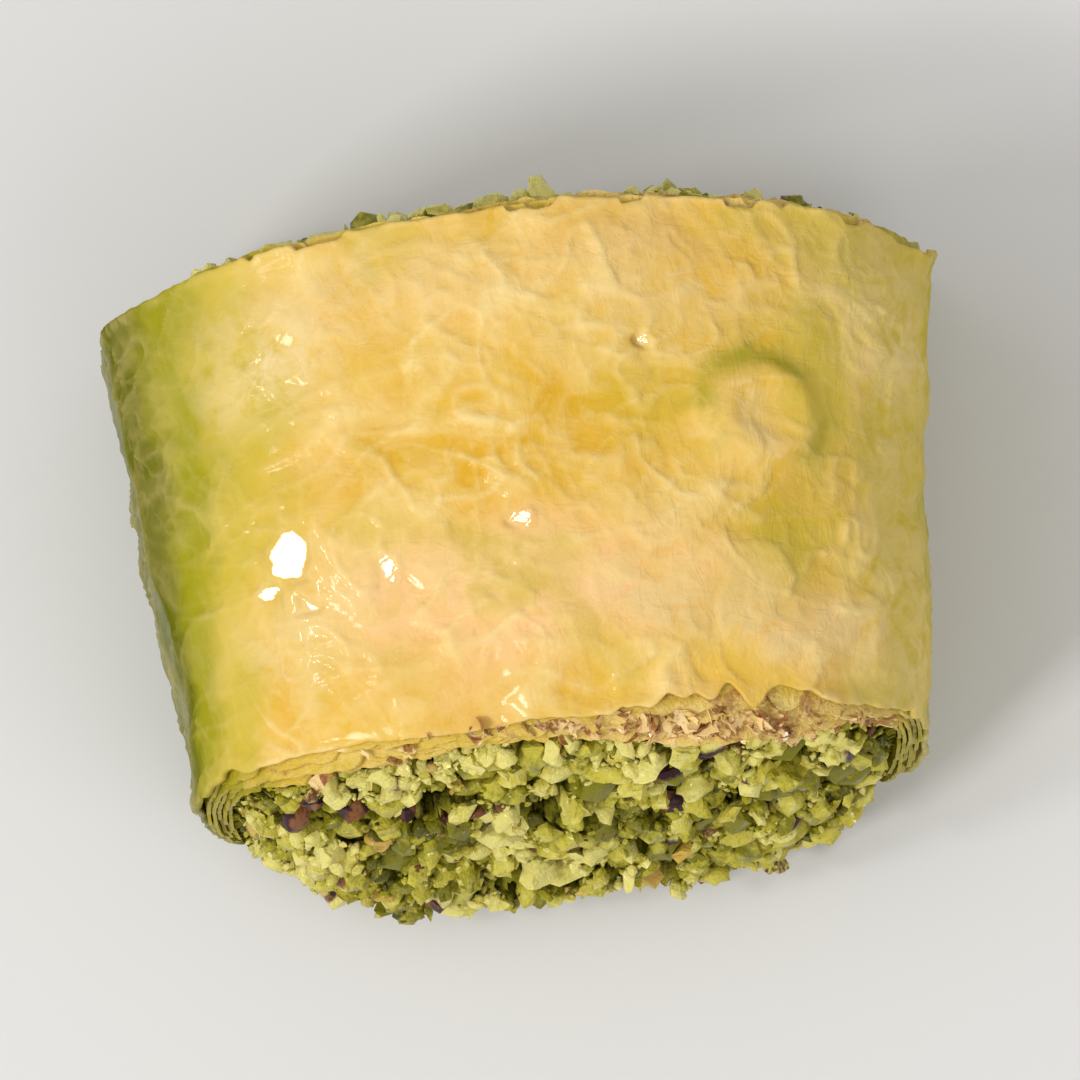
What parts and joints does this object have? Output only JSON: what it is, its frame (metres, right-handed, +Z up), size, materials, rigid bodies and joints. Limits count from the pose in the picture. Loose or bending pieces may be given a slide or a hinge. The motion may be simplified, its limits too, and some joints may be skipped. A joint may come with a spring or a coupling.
{
  "type": "baklava roll",
  "caption": "Baklava roll of ground pistachio paste in thin glazed filo, cut at both ends, resting on its flat base with the filling showing in front and behind.",
  "frame": {"origin": "middle of the base of the whole piece's box", "axes": "+Z up, +X across the roll, +Y along the roll towards the end with the smaller bulge of filling"},
  "size_m": [0.036, 0.0306, 0.0237],
  "materials": {
    "baked_filo": "thin baked filo glazed with syrup, golden on the crown and green over the filling on the flanks",
    "ground_pistachio": "coarse moist ground pistachio, green with brown and purple bits of skin"
  },
  "bodies": {
    "root": {"filo_wrap": "baked_filo", "pistachio_filling": "ground_pistachio"}
  },
  "joints": []
}
